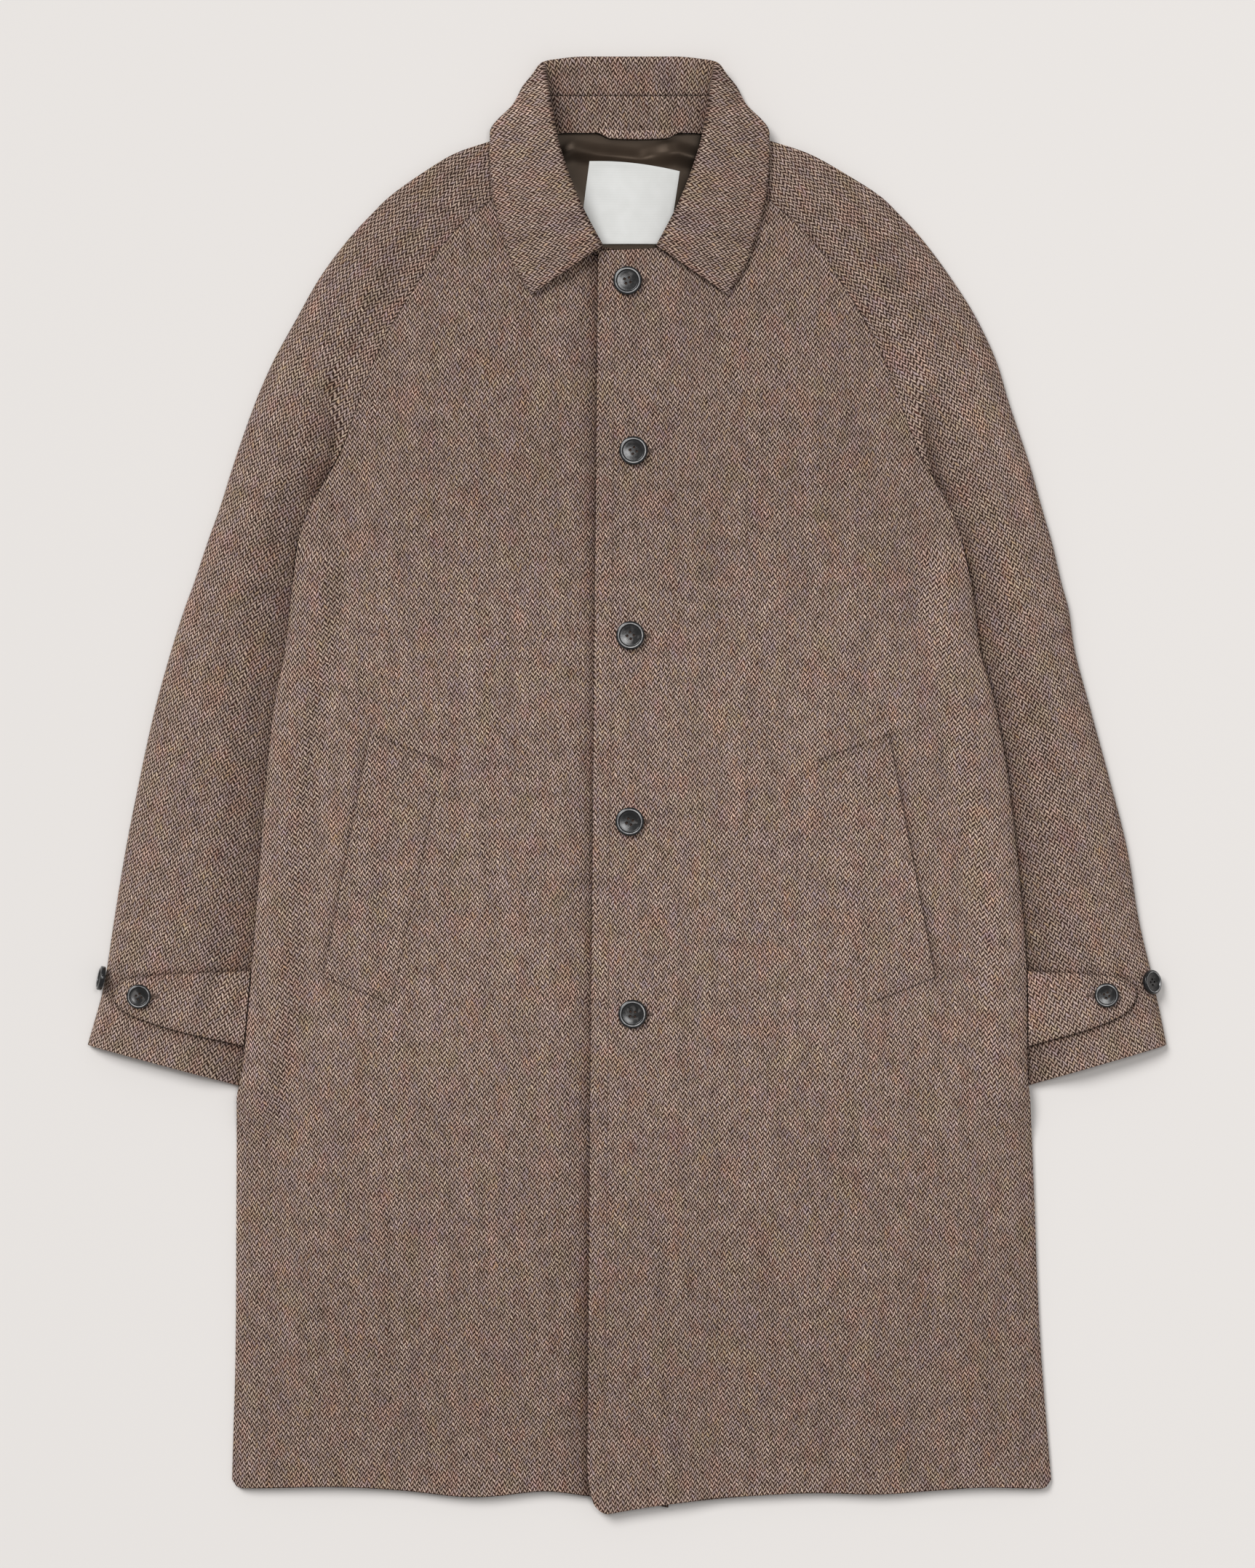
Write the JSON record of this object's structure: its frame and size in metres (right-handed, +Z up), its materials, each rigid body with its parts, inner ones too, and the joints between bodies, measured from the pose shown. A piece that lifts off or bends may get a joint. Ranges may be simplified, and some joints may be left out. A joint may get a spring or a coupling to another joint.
{
  "type": "overcoat",
  "caption": "Raglan overcoat in brown herringbone wool, buttoned and laid flat on its back, with turned-down collar, slanted welt pockets and buttoned sleeve tabs.",
  "frame": {"origin": "centre of the coat's footprint box, on the surface it lies on", "axes": "+X towards the wearer's left sleeve, +Y from the hem to the collar, +Z up, away from the surface"},
  "size_m": [0.86, 1.1618, 0.0298],
  "materials": {
    "tweed": "brown herringbone wool with flecks, matt and slightly napped",
    "satin": "dark brown satin lining",
    "label": "plain off-white woven label",
    "horn": "dark brown horn, polished rim"
  },
  "bodies": {
    "root": {"back_panel": "tweed", "front_right": "tweed", "front_left": "tweed", "sleeve_back_right": "tweed", "sleeve_back_left": "tweed", "sleeve_front_right": "tweed", "sleeve_front_left": "tweed", "collar_stand": "tweed", "collar_fall": "tweed", "hanger_loop": "tweed", "pocket_welt_right": "tweed", "pocket_welt_left": "tweed", "sleeve_tab_right": "tweed", "sleeve_tab_left": "tweed", "neck_lining": "satin", "neck_label": "label", "front_button_1": "horn", "front_button_2": "horn", "front_button_3": "horn", "front_button_4": "horn", "front_button_5": "horn", "cuff_button_right_1": "horn", "cuff_button_right_2": "horn", "cuff_button_left_1": "horn", "cuff_button_left_2": "horn"}
  },
  "joints": []
}
